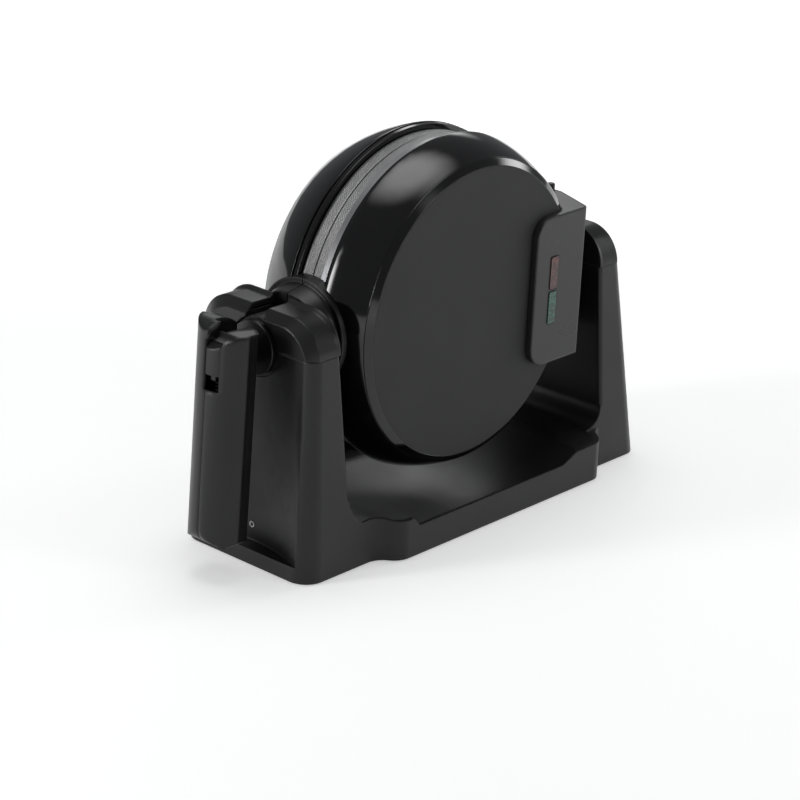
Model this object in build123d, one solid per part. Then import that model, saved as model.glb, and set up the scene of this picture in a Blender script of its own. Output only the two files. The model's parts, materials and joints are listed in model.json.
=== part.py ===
"""Rotating waffle maker: a round clamshell head that turns about X between two towers.

Millimetres, +Z up. While modelling, X = 0 is the middle of the round head, Y = 0 its parting
plane and Z = 0 the table. frame_shift then centres the whole object on X when it is written.
The head is stored upright, with its front half, the lid with the lights, towards -Y.
"""
from build123d import *
from math import atan2, cos, hypot, radians, sin, sqrt
import os

os.makedirs("parts", exist_ok=True)

# Shared clearances
seat_gap = 0.1                    # between fixed pieces that lie on each other
running_gap = 0.05                # radial, of each pin and journal in its bore
moving_gap = 0.4                  # between faces that move past each other

# Head: its ring's radius about its own Y axis, steps in and out from there, and depths from
# the parting plane
axis_height = 142.3
parting_gap = 0.3                 # half of the gap between the closed halves
ring_radius = 106.4
ring_sheet = 1.4
ring_lip_width = 5.2              # of each ring's lips
ring_edge_round = 1.0
front_ring_depth = 11.3
back_ring_depth = 8.6
front_rim_rise = 1.2
back_rim_rise = 3.6
rim_width = 3.2
rim_step = 0.6                    # of each rim bead behind the lip
groove_width = 1.0
shoulder_rise = 4.0
front_shell_depth = 44.0
front_edge_inset = 6.2
front_bulge = 1.3                 # of the shell's side beyond its chord
back_shell_depth = 46.2
back_edge_inset = 11.0
back_bulge = 1.6
shell_wall = 2.2
lip_inset = 8.2                   # to the inner edge of the lip that carries ring and plate
mouth_inset = 14.4                # to the opening in the shell that its cover closes
front_disc_inset = 11.4
front_disc_depth = 47.3
bezel_land = 0.3                  # width of the bezel's edge round the disc
back_disc_inset = 18.4
back_disc_depth = 50.5
cover_sheet = 1.6
bezel_shelf_width = 2.0

# Cooking plates, heaters and what lies behind them
plate_rim_inset = 5.8
plate_rim_width = 6.0
plate_rim_draft = 1.0
plate_pan_step = 2.6              # from the rim in to the pan below the lip
plate_face_depth = 9.4            # of the cooking face
plate_thickness = 4.8
peg_side = 9.6
peg_pitch = 15.4
peg_top_depth = 2.7
peg_draft = 9.0
peg_margin = 10.6                 # from the rim's edge in to the outermost peg
divider_width = 3.4
heater_inset = 44.4
heater_tube = 3.2
heater_arc = 318.0
heater_tail = 16.0
tail_gap = 1.0                    # round each cold end in its pan
heater_sleeve = 0.6               # of each cold end beyond the tube
reflector_sheet = 0.8
reflector_inset = 16.4
reflector_depth = 8.6             # of its floor behind the plate
plate_screw_inset = 28.4
plate_skin = 1.4                  # of the plate over each blind thread
thermostat_radius = 9.0
thermostat_height = 8.0
thermostat_cap = 2.0
fuse_radius = 2.6
fuse_length = 20.0
fuse_offset = 26.0

# Screws
screw_shank = 1.6
screw_head = 3.4
screw_head_height = 1.4
screw_head_gap = 0.3

# Towers; both have the same top, and lean from it to their floors
seam_rise = 2.3                   # of the seam under the tower caps above the head's axis
tower_clearance = 20.0            # from the ring to a tower's inner face
tower_top_width = 23.9
near_inner_lean = 14.4
near_outer_lean = 5.0
far_inner_lean = 10.2
far_outer_lean = 29.7
tower_inset = 12.8                # of a tower's side at the floor from the beam's
tower_side_lean = 5.3
tower_inner_corner = 2.5          # of both towers, towards the head
tower_corner_top = 9.0
tower_corner_floor = 14.0
base_wall = 2.6
cap_rise = 22.9
cap_shoulder = 22.4               # from a cap's side in to its flat top
cap_arc_radius = 24.5
cap_bevel_x = 5.6
cap_bevel_side = 6.0
cap_lip_rise = 2.3
cap_lip_run = 3.0
cap_tab = 8.0
notch_back = 8.0
notch_front = -6.0
scoop_depth_floor = 11.0
scoop_depth_top = 2.2
scoop_margin_floor = 8.7
scoop_margin_top = 6.4
scoop_cut = 6.0                   # how far the scoop's cutter stands out of the tower
ledge_height = 10.7

# Beam between the towers, with its dished trough
beam_half_width = 67.5
near_curve_inset = (7.6, 31.5)    # of the plan's double curves from the ring, along X
far_curve_reach = (5.4, 27.3)
deck_height = 31.0
deck_edge_height = 26.8
deck_flat_inset = 32.5
deck_crown = 0.75                 # share of the fall left halfway to the edge
near_blend = (20.0, 70.0, 29.2)    # radius, degrees turned and foot height of the blend
far_blend = (14.0, 90.0, 31.0)
blend_overlap = 5.0
side_wall_height = 21.0
side_low_inset = 40.6             # of the low side walls' near end from the ring, along X
side_trim_rise = 5.0              # of the trimming block above the deck
trough_middle = 11.0
trough_radius = 195.0
trough_floor = 9.4
trough_margin = 2.2               # thickness of the low side walls

# Underside
foot_thickness = 1.8
foot_recess = 1.0                 # how deep each foot sits in the bottom plate
foot_radius = 8.0
foot_chamfer = 0.4
foot_inset = 20.7                 # of each foot's middle from the tower's side at the floor
bottom_sheet = 2.4
bottom_gap = 0.3
boss_radius = 4.2
boss_inset = 6.7
boss_top = 26.0
boss_cap = 4.0                    # solid top of each boss above its thread
terminal_size = (22.0, 30.0, 12.0)
gland_height = 36.0
gland_radius = 6.2
gland_flange = 8.6
gland_flange_sheet = 2.0
gland_reach = 7.5
gland_bore = 3.6
gland_wall = 1.8
gland_depth = 6.0                 # behind the tower's face

# Bearings, trunnions and hub
bush_radius = 19.2
hub_radius = 15.0
hub_flange_radius = 17.4
hub_flange_inset = 2.3            # of the flange's ends from the near tower's outer top
hub_flange_reach = 2.0
bush_reach = 0.7                  # of each bush beyond its tower's inner face
near_bush_inset = 3.1
far_bush_inset = 3.3
far_bush_radius = 16.0
bearing_boss = 3.0                # wall round each bush
bush_hole_over = 2.0              # of the bearing holes beyond the near tower's outer face
bush_hole_reach = 4.0             # and from the towers' inner faces towards the head
trunnion_radius = 12.0
trunnion_bore = 6.0
trunnion_inset = 3.8
trunnion_flange_radius = 18.0
trunnion_flange_sheet = 3.2
hub_root_gap = 0.5                # between the shell and the hub's end
neck_root_depth = 10.4
neck_flange_radius = 35.0
neck_flange_reach = 3.2
neck_step_radius = 31.5
neck_tip_radius = 28.8
neck_gap = 4.0                    # between the neck's tip and the near tower
neck_lean = 0.1                   # the tip's lower end leans with the tower
front_neck_bore = 17.0

# Housing with the lights, and the hinge behind it
housing_inset = 52.4              # from the ring in to the housing's left side
housing_reach = 9.6
housing_face_inset = 2.4
housing_rise = 5.2                # of the housing's face above the front disc
housing_corner_cut = 2.0
housing_turn_depth = 20.0         # where the right side starts to slant in
housing_back_depth = 1.0
housing_half_height = 50.7
housing_round = 13.0
housing_wall = 2.4
lens_width = 7.4
lens_height = 21.8
lens_inset = 34.0
lens_gap = 2.2
lens_proud = 0.5
lens_flange = 1.2
lens_margin = 0.72                # of the flange round each lens
lens_corner = 1.2
lamp_radius = 2.4
lamp_board_sheet = 1.6
lamp_board_depth = 40.4
lamp_board_size = (20.0, 52.0)
lamp_post_radius = 2.5
window_margin = 4.0
hinge_reach = 2.6
hinge_depth = 37.0
hinge_pin_radius = 2.5
hinge_eye_radius = 5.5
arm_level = 38.0                  # from the head's axis to each arm
arm_thickness = 8.0
arm_half_width = 3.6
arm_tail = 14.0
arm_clearance = 1.0
back_housing_inset = 32.4
back_housing_reach = 14.6
back_housing_depth = 46.0
back_housing_slant = 24.0
back_housing_cut = 19.2
stud_radius = 2.8
stud_height = 5.0
stud_chamfer = 0.6
stud_reach = 5.6
stud_depth = 14.0

# Handle, modelled upright about its pivot and then leaned
pivot_reach = 26.2                # of the pivot beyond the near tower's outer top
handle_lean = 2.3
handle_outer = 13.9
handle_bulge = (10.6, 11.5)
handle_crease = 1.0
crease_step = 1.5
handle_half_width = 20.3
handle_rear_half = 19.0
handle_rear_turn = (9.5, 14.2, 12.5)
handle_inner = 15.5
handle_floor_gap = 22.8
handle_bottom_round = 12.0
handle_side_round = 9.0           # of its lower corners, seen from the outside
handle_inner_round = 5.0
dome_radius = 23.2
ramp_top = 17.6
ramp_run = 8.6
ramp_drop = 10.0
handle_wall = 2.8
knuckle_radius = 8.8
knuckle_half = 4.5
knuckle_bar_top = 3.0             # of the bar between knuckle and hub, above the axis
pivot_pin_radius = 3.0
pivot_pin_half = 14.0
latch_left = 9.0
latch_right = 2.0
latch_bottom = 8.2
latch_top = 14.2
latch_inset = 0.5
latch_inner = 9.5
latch_travel = 6.0
latch_stem = 1.8
latch_stem_half = 2.0
latch_foot = 2.0
latch_foot_end = 4.0
latch_side_gap = 0.2
spring_x = 6.6
spring_radius = 2.0
spring_length = 16.0
spring_wire = 0.6
spring_shelf = 2.4
spring_wall = 1.5                 # of the shelf beyond the spring
handle_screw_level = 45.0          # of the upper screw below the pivot
handle_screw_step = 55.0
handle_screw_x = 3.0
handle_boss_radius = 5.2
handle_head_seat = 13.0
handle_screw_tip = 16.0


# Derived places
housing_face_depth = front_disc_depth + housing_rise
handle_screw_levels = (handle_screw_level, handle_screw_level + handle_screw_step)

base_lift = foot_thickness - foot_recess
ring_lip = ring_radius - ring_lip_width
front_rim_radius = ring_radius + front_rim_rise
back_rim_radius = ring_radius + back_rim_rise
shoulder_radius = ring_radius + shoulder_rise
front_edge_radius = ring_radius - front_edge_inset
back_edge_radius = ring_radius - back_edge_inset
lip_radius = ring_radius - lip_inset
mouth_radius = ring_radius - mouth_inset
front_disc_radius = ring_radius - front_disc_inset
back_disc_radius = ring_radius - back_disc_inset
plate_rim_radius = ring_radius - plate_rim_inset
plate_pan_radius = plate_rim_radius - plate_pan_step
peg_limit_radius = plate_rim_radius - peg_margin
heater_radius = ring_radius - heater_inset
reflector_radius = ring_radius - reflector_inset
plate_screw_circle = ring_radius - plate_screw_inset
seam_height = axis_height + seam_rise
cap_top = seam_height + cap_rise
tower_inner_top = ring_radius + tower_clearance
tower_outer_top = tower_inner_top + tower_top_width
near_inner_floor = tower_inner_top - near_inner_lean
near_outer_floor = tower_outer_top + near_outer_lean
far_inner_floor = tower_inner_top + far_inner_lean
far_outer_floor = tower_outer_top + far_outer_lean
tower_half_floor = beam_half_width - tower_inset
tower_half_top = tower_half_floor - tower_side_lean
cap_flat = tower_half_top - cap_shoulder
scoop_half_floor = tower_half_floor - scoop_margin_floor
scoop_half_top = tower_half_top - scoop_margin_top
beam_near_curve = tuple(inset - ring_radius for inset in near_curve_inset)
beam_far_curve = tuple(ring_radius + reach for reach in far_curve_reach)
deck_flat = beam_half_width - deck_flat_inset
side_low_start = side_low_inset - ring_radius
trough_half_width = beam_half_width - trough_margin
foot_spread = tower_half_floor - foot_inset
boss_spread = tower_half_floor - boss_inset
hub_flange_start = tower_outer_top - hub_flange_inset
hub_flange_end = tower_outer_top + hub_flange_reach
bush_start = tower_inner_top - bush_reach
near_bush_end = tower_outer_top - near_bush_inset
far_bush_end = tower_outer_top - far_bush_inset
trunnion_end = tower_outer_top - trunnion_inset
hub_root = shoulder_radius + hub_root_gap
neck_root = ring_radius - neck_root_depth
neck_flange_end = ring_radius + neck_flange_reach
neck_tip = tower_inner_top - neck_gap
housing_left = ring_radius - housing_inset
housing_right = ring_radius + housing_reach
housing_face_right = ring_radius - housing_face_inset
lens_middle = ring_radius - lens_inset
hinge_x = ring_radius + hinge_reach
back_housing_left = ring_radius - back_housing_inset
back_housing_right = ring_radius + back_housing_reach
stud_x = ring_radius + stud_reach
pivot_x = tower_outer_top + pivot_reach
handle_bottom = axis_height - handle_floor_gap
front_lip_depth = front_ring_depth + seat_gap
back_lip_depth = back_ring_depth + seat_gap
front_step = front_lip_depth + rim_step
back_step = back_lip_depth + rim_step
bezel_top_radius = front_disc_radius + seat_gap + bezel_land
plate_under = plate_face_depth + plate_thickness
plate_rim_inner = plate_rim_radius - plate_rim_width
reflector_floor = plate_under + seat_gap + reflector_depth
slot_edge = knuckle_radius + moving_gap
lens_levels = ((lens_height + lens_gap) / 2, -(lens_height + lens_gap) / 2)
hinge_y = -hinge_depth
bottom_top = base_lift + bottom_sheet
head_origin = Pos(0, 0, axis_height)
lean_angle = radians(handle_lean)
handle_reach = (pivot_x + handle_bottom_round
                + (handle_outer - handle_bottom_round) * cos(lean_angle)
                + (handle_bottom - handle_bottom_round) * sin(lean_angle))
far_reach = far_outer_floor + (tower_outer_top - far_outer_floor) * base_lift / seam_height
frame_shift = (handle_reach - far_reach) / 2
whole_reach = handle_reach + 10   # longer than anything, for cuts and prisms
window_bottom = slot_edge + latch_foot + latch_travel + 2 * moving_gap
foot_underside = -slot_edge - moving_gap - latch_foot
spring_seat = foot_underside - seat_gap - spring_length


# Helpers

def write(name, shape):
    """Writes one named sub-part, centred on X with the whole object."""
    export_step(Pos(frame_shift, 0, 0) * shape, f"parts/{name}.step")


def front(shape):
    """Turns a piece modelled for the back half into one of the front half."""
    return mirror(shape, about=Plane.XZ)


def near(shape):
    """Turns a piece modelled for the far tower into one of the near tower."""
    return mirror(shape, about=Plane.YZ)


def turned(edges):
    """A solid of revolution about the head's axis, from an outline in (radius, depth)."""
    return head_origin * revolve(make_face(Curve() + edges), Axis.Y)


def disc(radius, start, end):
    """A flat disc about the head's axis, between two depths."""
    return turned([Polyline((0, start), (radius, start), (radius, end), (0, end), close=True)])


def rod(start, end, radius):
    """A round bar between two points."""
    a, b = Vector(*start), Vector(*end)
    bar = Cylinder(radius, (b - a).length, align=(Align.CENTER, Align.CENTER, Align.MIN))
    return Plane(origin=a, z_dir=b - a) * bar


def box(x0, x1, y0, y1, z0, z1):
    """A block between two corners."""
    return Pos((x0 + x1) / 2, (y0 + y1) / 2, (z0 + z1) / 2) * Box(x1 - x0, y1 - y0, z1 - z0)


def shaft(start, end, radius):
    """A bar on the axis about which the head turns."""
    return rod((start, 0, axis_height), (end, 0, axis_height), radius)


def screw(tip, head, shank=screw_shank):
    """A screw from its tip to the underside of its head."""
    a, b = Vector(*tip), Vector(*head)
    cap = b + (b - a).normalized() * screw_head_height
    return rod(tip, head, shank) + rod(head, tuple(cap), screw_head)


# Head shells

def side_arc(start, end, bulge):
    """An arc between two points of an outline, bulging outwards by the given amount."""
    dx, dy = end[0] - start[0], end[1] - start[1]
    length = hypot(dx, dy)
    middle = ((start[0] + end[0]) / 2 + dy / length * bulge,
              (start[1] + end[1]) / 2 - dx / length * bulge)
    return ThreePointArc(start, middle, end)


def shell(lip, step, rim, depth, edge, bulge):
    """One half's outer shell: the lip that carries ring and plate, the rim bead, the groove
    behind it and the curved side, open in the middle where its cover lies."""
    groove = step + rim_width
    side_start = groove + groove_width
    shoulder = (shoulder_radius, side_start + rim_width / 2)
    inner_start = (shoulder_radius - shell_wall, shoulder[1] + shell_wall)
    inner_end = (edge - shell_wall, depth - shell_wall)
    root = ring_radius - shell_wall
    return turned([
        Polyline((lip_radius, lip), (root, lip), (root, step), (rim, step), (rim, groove),
                 (ring_radius, groove), (ring_radius, side_start),
                 (shoulder_radius, side_start), shoulder),
        side_arc(shoulder, (edge, depth), bulge),
        Polyline((edge, depth), (mouth_radius, depth), (mouth_radius, inner_end[1]), inner_end),
        side_arc(inner_start, inner_end, bulge),
        Polyline(inner_start, (root, inner_start[1]), (root, lip + shell_wall),
                 (lip_radius, lip + shell_wall), (lip_radius, lip)),
    ])


def envelope(step, rim, depth, edge, bulge, gap):
    """The space that one half's shell fills, with a gap round it."""
    side_start = step + rim_width + groove_width
    shoulder = (shoulder_radius + gap, side_start + rim_width / 2)
    corner = (edge + gap, depth)
    return turned([
        Polyline((0, 0), (ring_radius + gap, 0), (ring_radius + gap, step - gap),
                 (rim + gap, step - gap), (rim + gap, side_start - gap),
                 (shoulder_radius + gap, side_start - gap), shoulder),
        side_arc(shoulder, corner, bulge),
        Polyline(corner, (edge + gap, depth + gap), (0, depth + gap), (0, 0)),
    ])


def front_envelope(gap=seat_gap):
    """The space of the front shell, its bezel and its disc."""
    shape = envelope(front_step, front_rim_radius, front_shell_depth, front_edge_radius,
                     front_bulge, gap)
    return front(shape + bevelled(front_shell_depth, front_edge_radius, front_disc_depth,
                                  bezel_top_radius, gap))


def back_envelope(gap=seat_gap):
    """The space of the back shell and its cover."""
    shape = envelope(back_step, back_rim_radius, back_shell_depth, back_edge_radius,
                     back_bulge, gap)
    return shape + bevelled(back_shell_depth, back_edge_radius, back_disc_depth,
                            back_disc_radius, gap)


def bevelled(depth, radius, end_depth, end_radius, gap):
    """A disc whose edge slopes in from one radius to the next."""
    return turned([Polyline((0, depth), (radius + gap, depth), (radius + gap, depth + gap),
                            (end_radius + gap, end_depth + gap), (0, end_depth + gap),
                            close=True)])


def ring(depth):
    """The metal band round one half, a channel with a lip at the parting and one on the shell."""
    inner = ring_radius - ring_sheet
    edge = parting_gap + ring_edge_round
    corner = ring_radius - ring_edge_round
    slope = ring_edge_round * (1 - sqrt(0.5))
    return turned([
        Polyline((ring_lip, parting_gap), (corner, parting_gap)),
        ThreePointArc((corner, parting_gap), (ring_radius - slope, parting_gap + slope),
                      (ring_radius, edge)),
        Polyline((ring_radius, edge), (ring_radius, depth), (ring_lip, depth),
                 (ring_lip, depth - ring_sheet), (inner, depth - ring_sheet),
                 (inner, edge + ring_sheet), (ring_lip, edge + ring_sheet),
                 (ring_lip, parting_gap)),
    ])


def front_bezel():
    """The glossy sloping rim between the front shell and its disc."""
    start = front_shell_depth + seat_gap
    shelf = front_disc_depth - cover_sheet - seat_gap
    inner = mouth_radius - bezel_shelf_width
    seat = front_disc_radius + seat_gap
    shape = turned([Polyline((inner, start), (front_edge_radius, start),
                             (bezel_top_radius, front_disc_depth), (seat, front_disc_depth),
                             (seat, shelf), (inner, shelf), close=True)])
    return front(shape)


def front_cover():
    """The flat satin disc, with a window for the lamps under their housing."""
    shape = front(disc(front_disc_radius, front_disc_depth - cover_sheet, front_disc_depth))
    return shape - lamp_window()


def lamp_window():
    """The hole in the front disc through which the lamps and their posts pass."""
    half_x = lamp_board_size[0] / 2 + window_margin
    half_z = lamp_board_size[1] / 2 + window_margin
    return box(lens_middle - half_x, lens_middle + half_x, -housing_face_depth, -front_shell_depth,
               axis_height - half_z, axis_height + half_z)


def back_cover():
    """The back half's flat cover with its sloping edge."""
    start = back_shell_depth + seat_gap
    return turned([Polyline((mouth_radius - 2, start), (back_edge_radius, start),
                            (back_disc_radius, back_disc_depth), (0, back_disc_depth),
                            (0, back_disc_depth - cover_sheet),
                            (back_disc_radius - cover_sheet, back_disc_depth - cover_sheet),
                            close=True)])


# Cooking plates and what lies behind them

def peg_places():
    """Centres of the pegs, in four quarters on either side of the dividers."""
    first = divider_width / 2 + peg_pitch - peg_side / 2
    count = int(peg_limit_radius / peg_pitch)
    steps = [first + peg_pitch * n for n in range(count)]
    half = peg_side / 2
    fits = [(x, z) for x in steps for z in steps if hypot(x + half, z + half) < peg_limit_radius]
    return [(sx * x, sz * z) for x, z in fits for sx in (1, -1) for sz in (1, -1)]


def cooking_plate(foot_depth):
    """A cast plate with a rim, a pan below it and rows of square pegs."""
    rise = plate_face_depth - peg_top_depth
    plate = turned([Polyline(
        (0, plate_face_depth), (plate_rim_inner - plate_rim_draft, plate_face_depth),
        (plate_rim_inner, parting_gap), (plate_rim_radius, parting_gap),
        (plate_rim_radius, foot_depth), (plate_pan_radius, foot_depth),
        (plate_pan_radius, plate_under), (0, plate_under), close=True)])
    floor = Plane(origin=(0, plate_face_depth, axis_height), x_dir=(1, 0, 0), z_dir=(0, -1, 0))
    peg = extrude(Rectangle(peg_side, peg_side), amount=rise, taper=peg_draft)
    ridge = Pos(0, 0, rise / 2) * Box(2 * plate_rim_inner, divider_width, rise)
    pegs = [floor * Pos(x, z, 0) * peg for x, z in peg_places()]
    plate += pegs
    plate += floor * (ridge + Rot(0, 0, 90) * ridge)
    return plate - plate_screw_holes()


def plate_screw_points(depth):
    """The four screw places round a plate, at one depth."""
    across = plate_screw_circle * sin(radians(45))
    return [(sx * across, depth, axis_height + sz * across) for sx in (1, -1) for sz in (1, -1)]


def plate_screw_holes():
    """Blind threads in a plate's underside."""
    starts = plate_screw_points(plate_face_depth + plate_skin)
    ends = plate_screw_points(reflector_floor + reflector_sheet)
    return [rod(a, b, screw_shank + running_gap) for a, b in zip(starts, ends)]


def plate_screws():
    """The four screws that hold a reflector to its plate."""
    tips = plate_screw_points(plate_face_depth + plate_skin + 2 * seat_gap)
    heads = plate_screw_points(reflector_floor + reflector_sheet + seat_gap)
    return Compound([screw(a, b) for a, b in zip(tips, heads)])


def heater_tails():
    """Places of the two cold ends of a heating element."""
    half = radians((360 - heater_arc) / 2)
    return [(s * heater_radius * sin(half), axis_height - heater_radius * cos(half))
            for s in (1, -1)]


def heater():
    """A sheathed element bent into an open ring, with a thicker cold end at each end."""
    depth = plate_under + seat_gap + heater_tube
    sleeve = heater_tube + heater_sleeve
    section = Pos(heater_radius, depth, 0) * Circle(heater_tube)
    bend = revolve(section, Axis.Y, heater_arc)
    tube = head_origin * Rot(0, -90 + heater_arc + (360 - heater_arc) / 2, 0) * bend
    for x, z in heater_tails():
        tube += rod((x, depth - heater_tube / 2, z), (x, depth + heater_tail, z), sleeve)
    return tube


def reflector():
    """A sheet pan that closes the space behind a plate."""
    start = plate_under + seat_gap
    shape = disc(reflector_radius, start, reflector_floor + reflector_sheet)
    shape -= disc(reflector_radius - reflector_sheet, start - 1, reflector_floor)
    hole = heater_tube + heater_sleeve + tail_gap
    holes = [rod((x, start, z), (x, start + heater_tail, z), hole)
             for x, z in heater_tails()]
    return shape - holes - plate_screw_holes()


def thermostat():
    """The round thermostat on the back plate's underside."""
    start = plate_under + seat_gap
    reach = start + thermostat_height - thermostat_cap
    body = disc(thermostat_radius, start, reach)
    return body + disc(thermostat_radius / 2, reach, start + thermostat_height)


def thermal_fuse():
    """The fuse that lies against the back plate beside the thermostat."""
    depth = plate_under + seat_gap + fuse_radius
    z = axis_height + fuse_offset
    return rod((-fuse_length / 2, depth, z), (fuse_length / 2, depth, z), fuse_radius)


# Neck and hub on the handle's side

def neck(root_envelope):
    """One half of the neck between the shell and the near tower."""
    low = neck_tip - neck_lean * neck_tip_radius
    bar = Pos(0, 0, axis_height) * revolve(make_face(Polyline(
        (-neck_root, 0), (-neck_root, neck_flange_radius), (-neck_flange_end, neck_flange_radius),
        (-neck_flange_end, neck_step_radius), (-neck_tip, neck_tip_radius), (-neck_tip, 0),
        close=True)), Axis.X)
    lower = Plane.XZ * make_face(Polyline(
        (-neck_tip - 1, axis_height), (-neck_tip, axis_height),
        (-low, axis_height - neck_tip_radius), (-low, axis_height - neck_flange_radius - 1),
        (-neck_tip - 1, axis_height - neck_flange_radius - 1), close=True))
    bar -= extrude(lower, amount=neck_flange_radius + 1, both=True)
    reach = neck_flange_radius + 1
    bar &= box(-neck_tip, 0, parting_gap, reach, axis_height - reach, axis_height + reach)
    return bar - root_envelope


def back_neck():
    """The back half of the neck, which grips the hub."""
    bore = shaft(-neck_tip - 1, seat_gap - hub_root, hub_radius + seat_gap)
    return neck(back_envelope()) - bore


def front_neck():
    """The lid's half of the neck, which lies round the hub when the lid is shut."""
    shape = neck(front(front_envelope()))
    return front(shape - shaft(-neck_tip - 1, 0, front_neck_bore))


def hub():
    """The journal in the near tower, its flange and the knuckle that carries the handle."""
    shape = shaft(-hub_root, -hub_flange_end, hub_radius)
    shape += shaft(-hub_flange_start, -hub_flange_end, hub_flange_radius)
    shape += box(-pivot_x, -hub_flange_end, -knuckle_half, knuckle_half,
                 axis_height - knuckle_radius, axis_height + knuckle_bar_top)
    shape += rod((-pivot_x, -knuckle_half, axis_height), (-pivot_x, knuckle_half, axis_height),
                 knuckle_radius)
    return shape - pivot_bore()


def pivot_bore():
    """The bore of the handle's pivot pin."""
    reach = pivot_pin_half + seat_gap
    return rod((-pivot_x, -reach, axis_height), (-pivot_x, reach, axis_height),
               pivot_pin_radius + running_gap)


# Housings and hinge on the far side

def plan_prism(points, half_height):
    """A prism about the axis height, from its outline in plan."""
    face = make_face(Polyline(*points, close=True))
    return Pos(0, 0, axis_height) * extrude(face, amount=half_height, both=True)


def indicator_block(inset):
    """The outer form of the housing with the lights, or its hollow."""
    left, right = housing_left + inset, housing_right - inset
    face_right = housing_face_right - inset * 1.3
    face = -housing_face_depth + inset
    back = -housing_back_depth if inset == 0 else 0
    half = housing_half_height - inset
    points = [(left, back), (left, face), (face_right - housing_corner_cut, face),
              (face_right, face + housing_corner_cut), (right, -housing_turn_depth),
              (right, back)]
    shape = plan_prism(points, half)
    edges = shape.edges().filter_by(Axis.Y).group_by(Axis.X)[0]
    return fillet(edges, housing_round - inset)


def lens_box(level, margin, start, end):
    """A block round one lens, between two depths."""
    half_x, half_z = lens_width / 2 + margin, lens_height / 2 + margin
    z = axis_height + level
    return box(lens_middle - half_x, lens_middle + half_x, -end, -start, z - half_z, z + half_z)


def indicator_housing():
    """The housing with the lights, open to the shell, with the lid's hinge barrel."""
    shape = indicator_block(0) - indicator_block(housing_wall)
    posts = [rod((x, -lamp_board_depth - seat_gap, axis_height + z),
                 (x, housing_wall / 2 - housing_face_depth, axis_height + z), lamp_post_radius)
             for x, z in board_corners()]
    level = arm_level - arm_clearance
    barrel = rod((hinge_x, hinge_y, axis_height - level), (hinge_x, hinge_y, axis_height + level),
                 hinge_eye_radius)
    shape = shape + barrel - front_envelope()
    shape += posts
    shape -= [lens_box(level, seat_gap, housing_face_depth - housing_wall, housing_face_depth + 1)
              for level in lens_levels]
    shape -= [arm_slot(side) for side in (1, -1)]
    return shape - hinge_bore()


def board_corners():
    """Places of the four posts on the lamp board."""
    half_x = lamp_board_size[0] / 2 - lamp_post_radius
    half_z = lamp_board_size[1] / 2 - lamp_post_radius
    return [(lens_middle + sx * half_x, sz * half_z) for sx in (1, -1) for sz in (1, -1)]


def arm_slot(side):
    """Room in the housing's side for one hinge arm, through the lid's whole swing."""
    low = arm_level - arm_clearance
    high = arm_level + arm_thickness + arm_clearance
    heights = sorted((axis_height + side * low, axis_height + side * high))
    reach = hinge_eye_radius + arm_clearance
    return box(hinge_x - reach, housing_right + 1, hinge_y - reach, 1, *heights)


def hinge_bore():
    """The running bore of the hinge pin, through arms and barrel."""
    reach = arm_level + arm_thickness + arm_clearance
    return rod((hinge_x, hinge_y, axis_height - reach), (hinge_x, hinge_y, axis_height + reach),
               hinge_pin_radius + running_gap)


def lens(level):
    """A lens that stands a little proud of the housing, with a flange behind its hole."""
    behind = housing_face_depth - housing_wall - seat_gap
    face = lens_box(level, 0, behind - lens_flange, housing_face_depth + lens_proud)
    flange = lens_box(level, lens_margin, behind - lens_flange, behind)
    edges = face.edges().filter_by(Axis.Y)
    return fillet(edges, lens_corner) + flange


def lamps():
    """The two indicator lamps, standing on their board behind the lenses."""
    top = housing_face_depth - housing_wall - lens_flange - 2 * seat_gap
    return Compound([rod((lens_middle, -lamp_board_depth - seat_gap, axis_height + level),
                         (lens_middle, -top, axis_height + level), lamp_radius)
                     for level in lens_levels])


def lamp_board():
    """The board that carries the lamps on the housing's posts."""
    half_x, half_z = lamp_board_size[0] / 2, lamp_board_size[1] / 2
    return box(lens_middle - half_x, lens_middle + half_x, -lamp_board_depth,
               lamp_board_sheet - lamp_board_depth, axis_height - half_z, axis_height + half_z)


def hinge_stud():
    """The dark stud on top of the housing."""
    top = axis_height + housing_half_height + seat_gap
    stud = rod((stud_x, -stud_depth, top), (stud_x, -stud_depth, top + stud_height), stud_radius)
    return chamfer(stud.edges().group_by(Axis.Z)[-1], stud_chamfer)


def back_block(inset):
    """The outer form of the back half's hinge housing, or its hollow."""
    left, right = back_housing_left + inset, back_housing_right - inset
    start = housing_back_depth + inset
    depth = back_housing_depth - inset
    slant = back_housing_slant
    points = [(left, start), (right, start), (right, depth - slant),
              (right - back_housing_cut, depth), (left, depth)]
    return plan_prism(points, housing_half_height - inset)


def arm(side):
    """One hinge arm: an eye on the lid's pin and a bar back into the housing."""
    low = axis_height + side * arm_level
    high = axis_height + side * (arm_level + arm_thickness)
    bottom, top = sorted((low, high))
    bar = box(hinge_x - arm_half_width, hinge_x + arm_half_width, hinge_y, arm_tail, bottom, top)
    return bar + rod((hinge_x, hinge_y, bottom), (hinge_x, hinge_y, top), hinge_eye_radius)


def hinge_arms():
    """The two arms that carry the lid's hinge pin."""
    return Compound([arm(side) - hinge_bore() for side in (1, -1)])


def arm_room(side):
    """The hole that one arm passes through in the back housing."""
    low, high = sorted((axis_height + side * (arm_level - seat_gap),
                        axis_height + side * (arm_level + arm_thickness + seat_gap)))
    half = arm_half_width + seat_gap
    return box(hinge_x - half, hinge_x + half, 0, arm_tail + seat_gap, low, high)


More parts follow.
